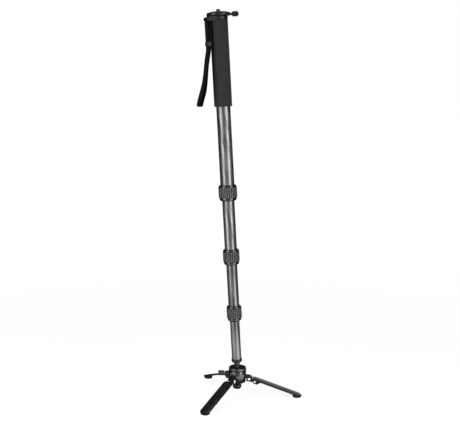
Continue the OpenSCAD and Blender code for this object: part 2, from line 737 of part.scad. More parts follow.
platform_pad();
platform_plate();
plate_screws();
camera_stud();
stud_lock_knob();
stud_lock_screw();
neck_collar();
top_plug();
strap_bracket();
strap_pin();
wrist_strap();
strap_keeper();
foam_grip();
tube_1();
tube_2();
tube_3();
tube_4();
guide_bush_2();
guide_bush_3();
guide_bush_4();
lock_1_sleeve();
lock_1_collet();
lock_1_ring();
lock_1_cover();
lock_2_sleeve();
lock_2_collet();
lock_2_ring();
lock_2_cover();
lock_3_sleeve();
lock_3_collet();
lock_3_ring();
lock_3_cover();
foot_collar();
pan_retainer();
ball_stem();
foot_ball();
ball_seat();
hub_body();
hub_ring();
hub_cap();
hub_bolt();
ball_lock_knob();
ball_lock_screw();
brake_pad();
leg_brackets();
leg_hinge_pins();
leg_1();
leg_2();
leg_3();
leg_1_pad();
leg_2_pad();
leg_3_pad();
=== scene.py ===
import math

import bmesh
import bpy
from mathutils import Matrix, Vector


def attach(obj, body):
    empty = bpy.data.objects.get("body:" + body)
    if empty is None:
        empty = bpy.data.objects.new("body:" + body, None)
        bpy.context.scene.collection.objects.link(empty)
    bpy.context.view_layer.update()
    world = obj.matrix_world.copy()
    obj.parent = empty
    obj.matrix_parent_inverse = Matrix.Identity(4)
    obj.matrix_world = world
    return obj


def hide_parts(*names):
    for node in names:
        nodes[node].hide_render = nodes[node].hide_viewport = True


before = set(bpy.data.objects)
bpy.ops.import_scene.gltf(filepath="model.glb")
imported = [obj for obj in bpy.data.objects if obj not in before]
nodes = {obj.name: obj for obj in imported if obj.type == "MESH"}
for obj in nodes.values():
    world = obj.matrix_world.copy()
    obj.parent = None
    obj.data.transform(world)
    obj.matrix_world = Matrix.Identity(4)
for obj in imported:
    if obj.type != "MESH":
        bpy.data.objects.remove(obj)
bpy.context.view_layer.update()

# ---- where things are, in millimetres unless a comment says otherwise

MM = 0.001
WELD, FINE_WELD = 1e-3, 1e-4   # points closer than this are made one
# the shaft leans to the left by so many degrees about the ball, whose middle is in metres
LEAN, BALL = 4.3, (-0.0237, 0, 0.0565)
SHAFT = Matrix.Translation(BALL) @ Matrix.Rotation(math.radians(-LEAN), 4, "Y")
# the strap hangs on the shaft's left side, turned towards the viewer by so many degrees
STRAP_TURN = 35
STRAP_SIDE = SHAFT @ Matrix.Rotation(math.radians(STRAP_TURN), 4, "Z")
# heights are along the shaft, from the ball
GRIP_LOW, GRIP_TOP, GRIP_R, TUBE_R = 615, 805, 20.2, 16
# the platform's rubber face: foot, rim and top, its radii, and the grooves in it
PAD_LOW, PAD_RIM, PAD_TOP = 819.3, 820.5, 822.3
PAD_R, PAD_CROWN_R, PAD_HOLE_R = 23.6, 17.5, 6.4
RIB_PITCH, GROOVE_W, GROOVE_D, GROOVE_SLOPE = 2.2, 1.1, 0.35, 0.25
# outer and inner radius and pitch of the stud's threads: 3/8 inch, 16 to the inch, and 1/4, 20
THREAD_UP, THREAD_DOWN = (4.76, 4.1, 1.5875), (3.17, 2.65, 1.27)
THREAD_FLAT = 0.12   # share of a pitch that is flat at the crest, and again at the root
# lower end and outer radius of each twist lock
LOCKS = {"1": (403, 21.2), "2": (255.5, 19), "3": (123.5, 17.4)}
# a lock's height and its bare ring below and above the cover, then the cover's thickness, the
# rounding of its edges and its gap to the ring
LOCK_H, LOCK_LOW, LOCK_HIGH = 36.5, 7, 4.4
COVER_T, COVER_ROUND, COVER_GAP = 2.2, 0.7, 0.2
# the blocks on a lock's cover: height, upright rows round it, blocks in a row, their share of the
# way round, how far the first is turned, the gap between two, and how much a block tapers
BLOCK_RISE, BLOCK_COLUMNS, BLOCK_ROWS, BLOCK_SHARE, BLOCK_TURN = 0.85, 27, 5, 0.62, -87.4
BLOCK_GAP, BLOCK_TAPER = 0.35, 0.5
STRAP_W, STRAP_T, SELVEDGE = 12.4, 1.5, 0.3
# the bracket's pin, across and up the shaft, and the strap's radius round it
PIN_X, PIN_S, EYE_R = -30.6, 806.1, 2.55
# stitches: each run of webbing and its outward side, how far out they lie, their places across,
# the lowest, the step, how many in a row, and half of one's size each way
STITCH_RUNS, STITCH_OUT = ((-33, -1), (-28.8, 1)), 0.72
STITCH_ACROSS, STITCH_LOW, STITCH_STEP, STITCH_COUNT = (-4.2, -1.4, 1.4, 4.2), 789, 2.2, 5
STITCH_SIZE = (0.25, 0.35, 0.95)
# the strap's loop: height, middle, and half the distance between its two runs
STRAP_RUN = [(806.1, -30.6, 2.55), (800, -30.65, 2.4), (792, -30.9, 2.1), (780, -30.9, 2.1),
             (768, -30.9, 2.1), (756, -30.9, 2.1), (744, -30.9, 2.1), (736, -32, 2.1),
             (729, -33.6, 2.05), (722, -35.5, 2), (714, -37.2, 1.9), (705, -38.9, 1.8),
             (697, -40.4, 1.75), (688, -41.9, 1.95), (679, -43.6, 2.3), (671, -45.3, 2.7),
             (662, -47.6, 3.35), (653, -50.3, 4.05), (645, -53.1, 4.4), (637, -56.2, 4.45),
             (629, -59.35, 4.3), (622, -61.5, 4)]

# the carbon: plies wound each way round a tube, the height in metres in which one goes once
# round, and the radians that the cloth over them turns in a metre
PLIES, PLY_RISE, WIND_TURN = 6, 0.044, 12.6
# how far apart the webbing's yarns are across it and along it
YARN_ACROSS, YARN_ALONG = 0.9, 0.7

# ---- building blocks


def add(tree, kind, into=None, to=None, **settings):
    """one shader node: its settings, its inputs given as values, sockets or nodes, and the socket
    that its first output goes to"""
    node = tree.nodes.new(kind)
    for key, value in settings.items():
        setattr(node, key, value)
    for socket, value in (into or {}).items():
        if isinstance(value, bpy.types.Node):
            value = value.outputs[0]
        if isinstance(value, bpy.types.NodeSocket):
            tree.links.new(value, node.inputs[socket])
        else:
            node.inputs[socket].default_value = value
    if to is not None:
        tree.links.new(node.outputs[0], to)
    return node


def linear(hexa):
    """an sRGB hex colour as linear red, green, blue, alpha"""
    parts = [int(hexa[i:i + 2], 16) / 255 for i in (1, 3, 5)]
    return [p / 12.92 if p <= 0.04045 else ((p + 0.055) / 1.055) ** 2.4 for p in parts] + [1]


def blank(name):
    """a material with nothing in its tree"""
    mat = bpy.data.materials.new(name)
    mat.use_nodes = True
    mat.node_tree.nodes.clear()
    return mat, mat.node_tree


def finish_of(name, surface):
    """a material with those surface settings, its tree and shader, and the place on the object"""
    mat, tree = blank(name)
    shader = add(tree, "ShaderNodeBsdfPrincipled", surface)
    add(tree, "ShaderNodeOutputMaterial", {"Surface": shader})
    return mat, tree, shader, add(tree, "ShaderNodeTexCoord").outputs["Object"]


def dye(tree, shader, tone, low, high, start=0.0, end=1.0):
    """colours a surface from one hex colour to another as the tone goes from start to end"""
    ramp = add(tree, "ShaderNodeValToRGB", {"Fac": tone}, shader.inputs["Base Color"])
    for element, hexa, position in zip(ramp.color_ramp.elements, (low, high), (start, end)):
        element.color = linear(hexa)
        element.position = position


def grain(tree, where, size_mm, detail=2.0, stretch=(1, 1, 1)):
    """noise whose spots are about size_mm across"""
    spread = add(tree, "ShaderNodeMapping", {"Vector": where, "Scale": stretch})
    return add(tree, "ShaderNodeTexNoise", {
        "Vector": spread, "Scale": 1 / (size_mm * MM), "Detail": detail})


def made(name, bm, material):
    """a bmesh as an object of one material"""
    mesh = bpy.data.meshes.new(name)
    bm.to_mesh(mesh)
    bm.free()
    mesh.materials.append(material)
    thing = bpy.data.objects.new(name, mesh)
    bpy.context.scene.collection.objects.link(thing)
    return thing


def place(name, bm, where, material, body, stands_for=(), sharp=35):
    """turns a bmesh in millimetres into a piece of the object, in the object's own frame"""
    bmesh.ops.transform(bm, matrix=where @ Matrix.Scale(MM, 4), verts=bm.verts)
    piece = made(name, bm, material)
    piece.data.shade_smooth()
    piece.data.set_sharp_from_angle(angle=math.radians(sharp))
    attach(piece, body)
    if stands_for:
        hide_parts(*stands_for)
    return piece


def turned(points, steps=96, closed=True):
    """a bmesh of a profile of (radius, height) points spun round z"""
    bm = bmesh.new()
    verts = [bm.verts.new((r, 0, z)) for r, z in points]
    edges = [bm.edges.new(pair) for pair in zip(verts, verts[1:])]
    if closed:
        edges.append(bm.edges.new((verts[-1], verts[0])))
    bmesh.ops.spin(bm, geom=verts + edges, cent=(0, 0, 0), axis=(0, 0, 1),
                   angle=2 * math.pi, steps=steps, use_merge=True)
    bmesh.ops.remove_doubles(bm, verts=bm.verts, dist=FINE_WELD)
    bmesh.ops.recalc_face_normals(bm, faces=bm.faces)
    return bm


def arc(cx, cz, r, start, end, steps=5):
    """points of a rounded corner in a profile, angles in degrees"""
    return [(cx + r * math.cos(math.radians(start + (end - start) * i / steps)),
             cz + r * math.sin(math.radians(start + (end - start) * i / steps)))
            for i in range(steps + 1)]


def eased(node, width, material, body, angle=30, segments=2, sharp=40):
    """a copy of a CAD node with its sharp edges broken by a width in millimetres, as a machined or
    moulded part has them"""
    bm = bmesh.new()
    bm.from_mesh(nodes[node].data)
    bmesh.ops.transform(bm, matrix=Matrix.Scale(1000, 4), verts=bm.verts)
    bmesh.ops.remove_doubles(bm, verts=bm.verts, dist=WELD)
    bmesh.ops.dissolve_limit(bm, angle_limit=math.radians(0.5), verts=bm.verts, edges=bm.edges)
    crisp = [e for e in bm.edges if len(e.link_faces) == 2
             and e.calc_face_angle(0) > math.radians(angle)]
    bmesh.ops.bevel(bm, geom=crisp, offset=width, offset_type="OFFSET", affect="EDGES",
                    segments=segments, profile=0.5, material=-1, clamp_overlap=True)
    return place(node + "_eased", bm, Matrix.Identity(4), material, body, (node,), sharp)


# ---- materials


def carbon_tube():
    """Roll-wrapped carbon fibre under a gloss clear coat: dark grey with diagonal plies that catch
    the light differently, long slanting bands of painted sheen, and hard highlights from the coat."""
    mat, tree, shader, where = finish_of("carbon_fibre_clearcoat", {
        "Metallic": 0.85, "Coat Weight": 0.5, "Coat Roughness": 0.12})
    # the pattern turns about the shaft's own axis
    upright = add(tree, "ShaderNodeMapping", {"Vector": where, "Location": [-v for v in BALL]},
                  vector_type="POINT")
    straight = add(tree, "ShaderNodeMapping", {
        "Vector": upright, "Rotation": (0, math.radians(LEAN), 0)}, vector_type="POINT")
    axes = add(tree, "ShaderNodeSeparateXYZ", {0: straight})
    turn = add(tree, "ShaderNodeMath", {0: axes.outputs[1], 1: axes.outputs[0]},
               operation="ARCTAN2")
    # the plies wound both ways cross in small diamonds, 6 to 8 mm wide and 3.7 mm high
    bands = []
    for side in (1, -1):
        slant = add(tree, "ShaderNodeMath", {
            0: axes.outputs[2], 1: side * 2 * math.pi * PLIES / PLY_RISE}, operation="MULTIPLY")
        both = add(tree, "ShaderNodeMath", {0: turn, 1: PLIES, 2: slant},
                   operation="MULTIPLY_ADD")
        bands.append(add(tree, "ShaderNodeMath", {0: both}, operation="SINE"))
    plies = add(tree, "ShaderNodeMath", {0: bands[0], 1: bands[1]}, operation="MULTIPLY")
    cloud = grain(tree, where, 14, 3, (1, 1, 0.35))
    mixed = add(tree, "ShaderNodeMath", {0: plies, 1: 0.22, 2: cloud}, operation="MULTIPLY_ADD")
    # fibres run lengthwise in fine streaks, 0.5 mm wide, drawn 0.8 mm to show
    streak = grain(tree, straight, 0.8, 2, (1, 1, 0.04))
    fibres = add(tree, "ShaderNodeMath", {0: streak, 1: 0.35, 2: mixed},
                 operation="MULTIPLY_ADD")
    # the cloth is wound at about 10 degrees to the tube, and long slanting bands of painted sheen
    # follow the wind
    twist = add(tree, "ShaderNodeMath", {0: axes.outputs[2], 1: WIND_TURN}, operation="MULTIPLY")
    wound = add(tree, "ShaderNodeVectorRotate", {"Vector": straight, "Angle": twist},
                rotation_type="Z_AXIS")
    shade = add(tree, "ShaderNodeMapRange", {
        0: grain(tree, wound, 7, 2, (1, 1, 0.06)), 1: 0.34, 2: 0.66, 3: -0.4, 4: 0.4})
    tone = add(tree, "ShaderNodeMath", {0: fibres, 1: shade}, operation="ADD")
    dye(tree, shader, tone, "#4a4a4b", "#787879", 0.3)
    add(tree, "ShaderNodeMapRange", {0: mixed, 1: 0.2, 2: 0.9, 3: 0.28, 4: 0.38},
        shader.inputs["Roughness"])
    add(tree, "ShaderNodeBump", {"Height": streak, "Distance": 0.03 * MM, "Strength": 0.4},
        shader.inputs["Normal"])
    return mat


def foam():
    """Moulded closed-cell EVA foam: matt charcoal with fine open pores on the skin."""
    mat, tree, shader, where = finish_of("closed_cell_eva_foam", {
        "Roughness": 0.88, "Specular IOR Level": 0.3, "Sheen Weight": 0.05,
        "Sheen Roughness": 0.5})
    # cells are 0.5 mm, drawn at 0.9 mm so that they show
    cells = add(tree, "ShaderNodeTexVoronoi", {"Vector": where, "Scale": 1 / (0.9 * MM)})
    cloud = grain(tree, where, 9, 3)
    fine = grain(tree, where, 0.6, 2)
    tone = add(tree, "ShaderNodeMath", {0: cells, 1: 0.5, 2: cloud}, operation="MULTIPLY_ADD")
    dye(tree, shader, tone, "#1b1b1b", "#2a2a2a", 0.35, 0.95)
    skin = add(tree, "ShaderNodeMath", {0: cells, 1: 0.8, 2: fine}, operation="MULTIPLY_ADD")
    add(tree, "ShaderNodeBump", {"Height": skin, "Distance": 0.25 * MM, "Strength": 0.7},
        shader.inputs["Normal"])
    return mat


def webbing(name="woven_nylon_webbing", low="#050506", high="#111112"):
    """Flat nylon webbing: fine crosswise ribs of yarn with a faint lengthwise wale, dull sheen."""
    mat, tree, shader, where = finish_of(name, {
        "Roughness": 0.75, "Specular IOR Level": 0.12, "Sheen Weight": 0.02,
        "Sheen Roughness": 0.4})
    # the UV map is in metres, across the webbing and along it
    flat = add(tree, "ShaderNodeUVMap", uv_map="cloth")
    axes = add(tree, "ShaderNodeSeparateXYZ", {0: flat})
    waves = []
    for i, pitch in enumerate((YARN_ACROSS, YARN_ALONG)):
        steps = add(tree, "ShaderNodeMath", {0: axes.outputs[i], 1: 2 * math.pi / (pitch * MM)},
                    operation="MULTIPLY")
        waves.append(add(tree, "ShaderNodeMath", {0: steps}, operation="SINE"))
    weave = add(tree, "ShaderNodeMath", {0: waves[0], 1: waves[1]}, operation="MULTIPLY")
    ribs = add(tree, "ShaderNodeMath", {0: weave, 1: 0.6, 2: waves[1]}, operation="MULTIPLY_ADD")
    fuzz = grain(tree, where, 1.2, 3)
    tone = add(tree, "ShaderNodeMath", {0: ribs, 1: 0.18, 2: fuzz}, operation="MULTIPLY_ADD")
    dye(tree, shader, tone, low, high, 0.2, 0.85)
    add(tree, "ShaderNodeBump", {"Height": ribs, "Distance": 0.12 * MM, "Strength": 0.8},
        shader.inputs["Normal"])
    return mat


def anodised(name, low, high, rough, blast_mm, bump_mm, metallic=0.85):
    """Bead-blasted, black anodised aluminium: satin, with a fine even grain and slightly
    clouded dye."""
    mat, tree, shader, where = finish_of(name, {"Metallic": metallic})
    blast = grain(tree, where, blast_mm, 2)
    cloud = grain(tree, where, 11, 2)
    tone = add(tree, "ShaderNodeMath", {0: blast, 1: 0.6, 2: cloud}, operation="MULTIPLY_ADD")
    dye(tree, shader, tone, low, high, 0.45)
    add(tree, "ShaderNodeMapRange", {0: cloud, 1: 0.2, 2: 0.8, 3: rough - 0.05, 4: rough + 0.06},
        shader.inputs["Roughness"])
    add(tree, "ShaderNodeBump", {"Height": blast, "Distance": bump_mm * MM, "Strength": 0.6},
        shader.inputs["Normal"])
    return mat


def gloss_black():
    """Diamond-turned and bright-dipped aluminium dyed black: near mirror, with faint turning lines
    round the shaft."""
    mat, tree, shader, where = finish_of("bright_dipped_black_aluminium", {"Metallic": 1.0})
    lines = grain(tree, where, 0.7, 2, (0.05, 0.05, 1))
    cloud = grain(tree, where, 8, 2)
    dye(tree, shader, cloud, "#48484a", "#565658")
    add(tree, "ShaderNodeMapRange", {0: lines, 1: 0.2, 2: 0.8, 3: 0.1, 4: 0.18},
        shader.inputs["Roughness"])
    add(tree, "ShaderNodeBump", {"Height": lines, "Distance": 0.01 * MM, "Strength": 0.3},
        shader.inputs["Normal"])
    return mat


def rubber(name, low, high, rough, pit_mm=0.6):
    """Moulded rubber: matt, a fine spark-eroded texture, dusty lighter patches."""
    mat, tree, shader, where = finish_of(name, {"Specular IOR Level": 0.4})
    pits = grain(tree, where, pit_mm, 3)
    dust = grain(tree, where, 6, 4)
    tone = add(tree, "ShaderNodeMath", {0: pits, 1: 0.5, 2: dust}, operation="MULTIPLY_ADD")
    dye(tree, shader, tone, low, high, 0.45)
    add(tree, "ShaderNodeMapRange", {0: dust, 1: 0.2, 2: 0.8, 3: rough - 0.06, 4: rough + 0.08},
        shader.inputs["Roughness"])
    add(tree, "ShaderNodeBump", {"Height": pits, "Distance": 0.08 * MM, "Strength": 0.7},
        shader.inputs["Normal"])
    return mat


def turned_metal(name, low, high, rough):
    """Metal from the lathe: bright, with fine rings and small changes of gloss."""
    mat, tree, shader, where = finish_of(name, {"Metallic": 1.0})
    rings = grain(tree, where, 0.4, 2, (0.1, 0.1, 1))
    cloud = grain(tree, where, 7, 2)
    tone = add(tree, "ShaderNodeMath", {0: rings, 1: 0.4, 2: cloud}, operation="MULTIPLY_ADD")
    dye(tree, shader, tone, low, high, 0.3)
    add(tree, "ShaderNodeMapRange", {0: rings, 1: 0.2, 2: 0.8, 3: rough - 0.05, 4: rough + 0.08},
        shader.inputs["Roughness"])
    add(tree, "ShaderNodeBump", {"Height": rings, "Distance": 0.02 * MM, "Strength": 0.5},
        shader.inputs["Normal"])
    return mat


def plastic(name, low, high, rough, texture_mm=0.8):
    """Injection-moulded plastic: even, with a light eroded texture."""
    mat, tree, shader, where = finish_of(name, {})
    texture = grain(tree, where, texture_mm, 2)
    cloud = grain(tree, where, 8, 2)
    dye(tree, shader, cloud, low, high)
    add(tree, "ShaderNodeMapRange", {
        0: texture, 1: 0.2, 2: 0.8, 3: rough - 0.05, 4: rough + 0.05}, shader.inputs["Roughness"])
    add(tree, "ShaderNodeBump", {"Height": texture, "Distance": 0.04 * MM, "Strength": 0.5},
        shader.inputs["Normal"])
    return mat


CARBON = carbon_tube()
FOAM = foam()
WEBBING = webbing()
# thicker, harder yarn than the webbing's: it catches a little more light
THREAD = webbing("bonded_polyester_thread", "#141415", "#262627")
# platform, collars, leg brackets: a soft, even sheen
PLATFORM_BLACK = anodised("black_anodised_aluminium", "#242425", "#343435", 0.36, 0.7, 0.02)
# strap bracket: blasted until it is nearly dull
BRACKET_BLACK = anodised("matt_black_anodised_aluminium", "#1a1a1b", "#272728", 0.55, 0.7, 0.02,
                         0.5)
# hub: smoothed before it is dyed, so that the lamps show in it as long bars
HUB_BLACK = anodised("satin_anodised_hub_aluminium", "#424243", "#585859", 0.16, 0.8, 0.015, 1.0)
# legs: blasted coarse enough to see
LEG_BLACK = anodised("bead_blasted_leg_aluminium", "#262627", "#3c3c3d", 0.3, 1.6, 0.03)
RING_BLACK = gloss_black()
# lock covers' skin and the blocks' sides: black rubber, darkened further as painted shade between
# the blocks
SHADED_COVER_RUBBER = rubber("grip_rubber_painted_shade", "#0e0e0f", "#181819", 0.7)
# the tops of the covers' blocks, painted paler as painted highlight
BLOCK_TOP_HIGHLIGHT_RUBBER = rubber("grip_rubber_painted_highlight", "#4a4a4a", "#747474", 0.6)
PAD_RUBBER = rubber("moulded_pad_rubber", "#1b1b1c", "#303032", 0.75)
STEEL = turned_metal("turned_stainless_steel", "#8d8d90", "#b5b5b8", 0.3)
# camera stud: dark, with an oily gloss
STUD_STEEL = turned_metal("oil_blackened_steel", "#4c4c4d", "#6a6a6b", 0.32)
# ball and stem: bright, but a darker grey than chrome
STEM_METAL = turned_metal("dark_nickel_plated_steel", "#5c5c60", "#7c7c81", 0.3)
PLUG_METAL = turned_metal("plain_turned_aluminium", "#9a9a9d", "#bdbdc0", 0.38)
BRASS = turned_metal("plain_brass", "#a8853f", "#c9a55a", 0.32)
# the glass in it makes the knob's skin slightly grey and dull
KNOB_PLASTIC = plastic("glass_filled_nylon_black", "#2c2c2e", "#3c3c3e", 0.45)
KEEPER_PLASTIC = plastic("moulded_acetal_black", "#060606", "#0f0f10", 0.6)
NYLON = plastic("natural_nylon", "#c9c7bd", "#dbd9d0", 0.5)

# the CAD's own solids that are shown as they are
for finish, names in (
        (CARBON, ("tube_1", "tube_2", "tube_3", "tube_4")),
        (STEEL, ("stud_lock_screw", "plate_screws", "ball_lock_screw", "hub_bolt",
                 "leg_hinge_pins", "pan_retainer")),
        (BRACKET_BLACK, ("strap_pin",)),
        (STEM_METAL, ("foot_ball", "ball_stem")),
        (PLUG_METAL, ("top_plug", "lock_1_sleeve", "lock_2_sleeve", "lock_3_sleeve")),
        (NYLON, ("guide_bush_2", "guide_bush_3", "guide_bush_4", "lock_1_collet",
                 "lock_2_collet", "lock_3_collet", "ball_seat")),
        (BRASS, ("brake_pad",))):
    for name in names:
        nodes[name].material_slots[0].material = finish

# ---- foot

eased("hub_body", 0.45, HUB_BLACK, "hub")
eased("hub_ring", 0.5, HUB_BLACK, "hub", angle=12)
eased("hub_cap", 0.4, HUB_BLACK, "hub", angle=40)
eased("leg_brackets", 0.4, PLATFORM_BLACK, "hub")
eased("foot_collar", 0.35, PLATFORM_BLACK, "section_4")
eased("ball_lock_knob", 0.35, KNOB_PLASTIC, "ball_knob")
for n in ("1", "2", "3"):
    eased("leg_" + n, 0.4, LEG_BLACK, "leg_" + n)
    eased("leg_" + n + "_pad", 0.5, PAD_RUBBER, "leg_" + n)

# ---- twist locks: a glossy ring with a studded rubber cover


def cover_skin(number, foot, top, radius):
    """the smooth sleeve between a lock cover's blocks, black rubber darkened further as painted
    shade
    """
    skin = radius - BLOCK_RISE
    wall = [(radius - COVER_T, foot)]
    wall += arc(skin - COVER_ROUND, foot + COVER_ROUND, COVER_ROUND, -90, 0)
    wall += arc(skin - COVER_ROUND, top - COVER_ROUND, COVER_ROUND, 0, 90)
    wall.append((radius - COVER_T, top))
    place(f"lock_{number}_cover_skin", turned(wall, 120), SHAFT, SHADED_COVER_RUBBER, "lock_" + number,
          (f"lock_{number}_cover",))


def cover_blocks(number, foot, top, radius):
    """upright rows of small raised blocks round a lock's cover: painted highlight on top, painted
    shade on the sides
    """
    bm = bmesh.new()
    pitch = (top - foot - 2 * COVER_ROUND) / BLOCK_ROWS
    width = 2 * math.pi * radius / BLOCK_COLUMNS * BLOCK_SHARE
    block = bmesh.ops.create_cube(bm, size=1)["verts"]
    bmesh.ops.delete(bm, geom=[f for f in {f for v in block for f in v.link_faces}
                               if f.normal.x < -0.5], context="FACES_ONLY")
    # a block tapers outwards, and its open back is sunk 0.1 mm into the skin
    for v in block:
        rise = v.co.x > 0
        taper = BLOCK_TAPER * rise
        v.co = Vector((radius - 0.05 if rise else radius - BLOCK_RISE - 0.1,
                       v.co.y * (width - taper), v.co.z * (pitch - BLOCK_GAP - taper)))
    faces = list({f for v in block for f in v.link_faces})
    for face in faces:
        face.normal_update()
        # outward faces take the painted highlight; the sides stay dark as painted shade between
        # the blocks
        face.material_index = int(face.normal.x > 0.9)
    for row in range(BLOCK_ROWS):
        height = foot + COVER_ROUND + pitch * (row + 0.5)
        for k in range(BLOCK_COLUMNS):
            copy = bmesh.ops.duplicate(bm, geom=faces)["geom"]
            moved = [g for g in copy if isinstance(g, bmesh.types.BMVert)]
            turn = math.radians(BLOCK_TURN + k * 360 / BLOCK_COLUMNS)
            bmesh.ops.transform(bm, verts=moved, matrix=Matrix.Rotation(turn, 4, "Z")
                                @ Matrix.Translation((0, 0, height)))
    bmesh.ops.delete(bm, geom=block, context="VERTS")
    blocks = place(f"lock_{number}_cover_studs", bm, SHAFT, SHADED_COVER_RUBBER, "lock_" + number, ())
    blocks.data.materials.append(BLOCK_TOP_HIGHLIGHT_RUBBER)


for n, (low, radius) in LOCKS.items():
    eased(f"lock_{n}_ring", 0.6, RING_BLACK, "lock_" + n, segments=3)
    cover = (n, low + LOCK_LOW + COVER_GAP, low + LOCK_H - LOCK_HIGH - COVER_GAP, radius)
    cover_skin(*cover)
    cover_blocks(*cover)

# ---- platform

eased("platform_plate", 0.4, PLATFORM_BLACK, "section_1")
eased("neck_collar", 0.3, PLATFORM_BLACK, "section_1")
eased("strap_bracket", 0.35, BRACKET_BLACK, "section_1")
eased("stud_lock_knob", 0.5, PLATFORM_BLACK, "stud_knob", segments=3)


def ribbed_pad():
    """the platform's rubber face: crowned, with round ribs that keep a camera from turning"""
    face = [(PAD_HOLE_R, PAD_LOW), (PAD_HOLE_R, PAD_TOP)]
    r = PAD_HOLE_R + 1.6
    while r < PAD_CROWN_R - 2:
        face += [(r, PAD_TOP), (r + GROOVE_SLOPE, PAD_TOP - GROOVE_D),
                 (r + GROOVE_W - GROOVE_SLOPE, PAD_TOP - GROOVE_D), (r + GROOVE_W, PAD_TOP)]
        r += RIB_PITCH
    face += [(PAD_CROWN_R - 0.5, PAD_TOP), (PAD_CROWN_R + 0.5, PAD_TOP - 0.3),
             (PAD_R - 0.3, PAD_RIM + 0.05), (PAD_R, PAD_RIM - 0.25), (PAD_R, PAD_LOW)]
    place("platform_ribbed_pad", turned(face, 128), SHAFT, PAD_RUBBER, "section_1",
          ("platform_pad",))


def thread(major, minor, pitch, low, high, steps=48):
    """a screw thread, longer than from low to high, cut there and capped flat"""
    bm = bmesh.new()
    line, z = [], low - 1.5 * pitch
    for _ in range(int((high - low) / pitch) + 3):
        line += [(major, z), (major, z + THREAD_FLAT * pitch), (minor, z + 0.5 * pitch),
                 (minor, z + (0.5 + THREAD_FLAT) * pitch)]
        z += pitch
    verts = [bm.verts.new((r, 0, h)) for r, h in line]
    edges = [bm.edges.new(pair) for pair in zip(verts, verts[1:])]
    bmesh.ops.spin(bm, geom=verts + edges, cent=(0, 0, 0), axis=(0, 0, 1),
                   dvec=(0, 0, pitch / steps), angle=2 * math.pi, steps=steps, use_merge=False)
    bmesh.ops.remove_doubles(bm, verts=bm.verts, dist=WELD)
    for level, up in ((low, -1), (high, 1)):
        cut = bmesh.ops.bisect_plane(bm, geom=bm.verts[:] + bm.edges[:] + bm.faces[:],
                                     plane_co=(0, 0, level), plane_no=(0, 0, up),
                                     clear_outer=True)
        rim = [g for g in cut["geom_cut"] if isinstance(g, bmesh.types.BMEdge)]
        bmesh.ops.edgenet_fill(bm, edges=rim)
    bmesh.ops.recalc_face_normals(bm, faces=bm.faces)
    return bm


def camera_stud():
    """the reversible stud: the larger thread up, its shoulder and body, and the smaller down"""
    bm = thread(*THREAD_UP, 821.4, 827.1)
    for part in (thread(*THREAD_DOWN, 800.4, 813),
                 turned([(0, 813), (4.76, 813.4), (4.76, 819.2), (4.2, 819.3), (4.2, 821.5),
                         (0, 821.5)], 64, closed=False),
                 turned([(0, 827), (4.7, 827), (3.7, 828.2), (0, 828.2)], 64, closed=False),
                 turned([(0, 800.1), (2.3, 800.1), (2.65, 800.5), (0, 800.5)], 48, closed=False)):
        scrap = bpy.data.meshes.new("scrap")
        part.to_mesh(scrap)
        part.free()
        bm.from_mesh(scrap)
        bpy.data.meshes.remove(scrap)
    place("camera_stud_threaded", bm, SHAFT, STUD_STEEL, "stud", ("camera_stud",))


def foam_grip():
    """a foam sleeve, pressed in a little where it ends against the collar and over the tube"""
    foot_round, top_round, swell, steps = 2.1, 1.6, 0.12, 40
    wall = [(TUBE_R, GRIP_LOW + 0.4)]
    wall += arc(GRIP_R - foot_round, GRIP_LOW + foot_round, foot_round, -90, -5, 8)
    length = GRIP_TOP - GRIP_LOW - foot_round - top_round
    for i in range(1, steps):
        share = i / steps
        wall.append((GRIP_R + swell * math.sin(math.pi * share) - swell,
                     GRIP_LOW + foot_round + length * share))
    wall += arc(GRIP_R - top_round, GRIP_TOP - top_round, top_round, 5, 90, 7)
    wall.append((TUBE_R, GRIP_TOP))
    grip = place("foam_grip_sleeve", turned(wall, 120), SHAFT, FOAM, "section_1", ("foam_grip",))


ribbed_pad()
camera_stud()
foam_grip()

# ---- wrist strap


def smooth(points, parts=4):
    """points of a smooth curve through the given ones"""
    out = []
    for i in range(len(points) - 1):
        a, b, c, d = (Vector(points[max(0, min(len(points) - 1, i + k))]) for k in (-1, 0, 1, 2))
        for j in range(parts):
            t = j / parts
            out.append(0.5 * ((2 * b) + (c - a) * t + (2 * a - 5 * b + 4 * c - d) * t ** 2
                              + (3 * b - a - 3 * c + d) * t ** 3))
    return out + [Vector(points[-1])]


def around(x, s, r, angles):
    """points at those degrees round a middle in the strap's plane"""
    return [(x + r * math.cos(math.radians(a)), s + r * math.sin(math.radians(a)))
            for a in angles]


def strap_path():
    """the middle of the webbing: down the outer run, round the end, up the inner run and over
    the pin"""
    low, middle, end_r = STRAP_RUN[-1]
    outer = [(mid - half, s) for s, mid, half in STRAP_RUN]
    inner = [(mid + half, s) for s, mid, half in reversed(STRAP_RUN)]
    end = around(middle, low, end_r, range(202, 350, 23))
    over_pin = around(PIN_X, PIN_S, EYE_R, range(20, 180, 20))
    return smooth(outer + end + inner + over_pin + outer[:1])


